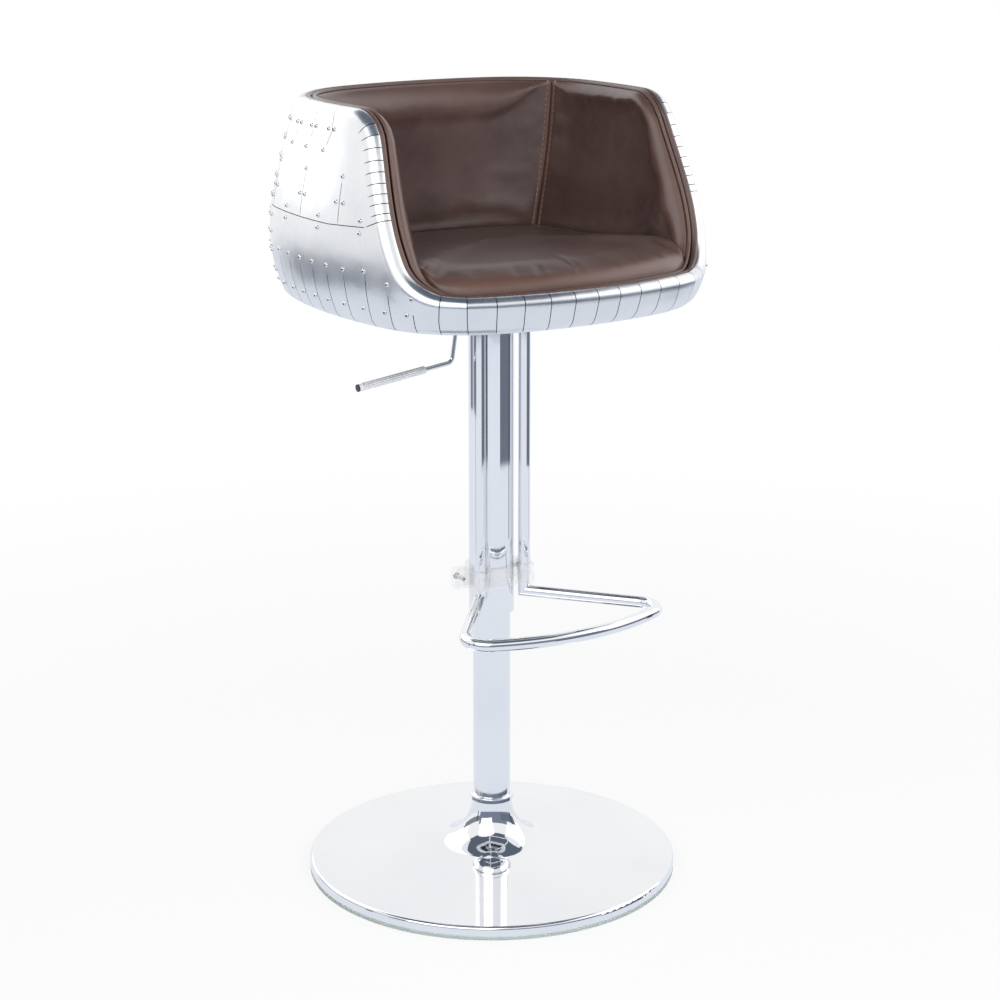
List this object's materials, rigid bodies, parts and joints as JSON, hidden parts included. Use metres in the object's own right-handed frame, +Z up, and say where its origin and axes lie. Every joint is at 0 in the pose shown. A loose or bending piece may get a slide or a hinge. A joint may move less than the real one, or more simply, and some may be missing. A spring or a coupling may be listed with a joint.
{
  "type": "swivel bar stool",
  "caption": "Height-adjustable swivel bar stool: leather tub seat clad in riveted polished sheet, gas-lift column, hanging tube footrest and round trumpet base.",
  "frame": {"origin": "on the floor, on the column's axis, under the middle of the round base", "axes": "+Z up along the column; the seat and footrest face -Y; +X is the sitter's left, the lift lever is on -X"},
  "size_m": [0.5174, 0.5177, 1.05],
  "materials": {
    "chrome": "polished chrome",
    "polished_aluminium": "polished sheet",
    "leather": "worn brown leather",
    "floor_ring": "clear soft ring",
    "clear_plastic": "clear plastic",
    "dark_plastic": "moulded",
    "steel": "plain steel",
    "iron": "black iron",
    "rubber": "black rubber",
    "plywood": "bare plywood",
    "dust_cloth": "black lining",
    "rivet": "domed rivets"
  },
  "bodies": {
    "base": {"base_shell": "chrome", "floor_ring": "floor_ring", "bottom_plate": "steel", "base_weight": "iron", "column_flange": "steel", "base_screws": "steel", "column_tube": "chrome", "neck_collar": "chrome", "guide_bush": "dark_plastic"},
    "spindle": {"piston_rod": "steel", "retaining_clip": "steel", "thrust_washer": "steel", "rod_bumper": "rubber", "piston": "steel"},
    "seat": {"gas_cylinder": "steel", "taper_socket": "steel", "sleeve_tube": "chrome", "sleeve_bush": "dark_plastic", "seat_plate": "steel", "seat_bolts": "steel", "lever_bracket": "steel", "lever_pin": "steel", "hanger_left": "chrome", "hanger_right": "chrome", "footrest_ring": "chrome", "guide_clip_front": "clear_plastic", "guide_clip_rear": "clear_plastic", "clip_screws": "steel", "rim_strips": "polished_aluminium", "skirt_strips": "polished_aluminium", "upper_panel_back": "polished_aluminium", "upper_panel_left": "polished_aluminium", "upper_panel_right": "polished_aluminium", "lower_panel_back": "polished_aluminium", "lower_panel_left": "polished_aluminium", "lower_panel_right": "polished_aluminium", "panel_rivets": "rivet", "tub_core": "plywood", "seat_board": "plywood", "bottom_cover": "dust_cloth", "rim_border": "leather", "rim_piping": "leather", "front_roll": "leather", "pad_back": "leather", "pad_left": "leather", "pad_right": "leather", "seat_cushion": "leather"},
    "lever": {"lever_rod": "chrome", "lever_hub": "steel", "lever_grip": "chrome", "grip_cap": "dark_plastic"},
    "valve": {"valve_pin": "steel"}
  },
  "joints": [
    {"name": "seat_swivel", "type": "hinge", "parent": "base", "child": "spindle", "pos_m": [0, 0, 0.03], "axis": [0, 0, 1], "continuous": true},
    {"name": "seat_lift", "type": "slide", "parent": "spindle", "child": "seat", "axis": [0, 0, 1], "range_m": [-0.215, 0]},
    {"name": "lever_pull", "type": "hinge", "parent": "seat", "child": "lever", "pos_m": [-0.038, 0, 0.802], "axis": [0, 1, 0], "range_deg": [0, 5], "stiffness_Nm_per_rad": 2},
    {"name": "valve_press", "type": "slide", "parent": "seat", "child": "valve", "axis": [0, 0, -1], "range_m": [0, 0.0034]}
  ],
  "couplings": [
    {"joint": "valve_press", "follows": "lever_pull", "m_per_rad": 0.038}
  ]
}
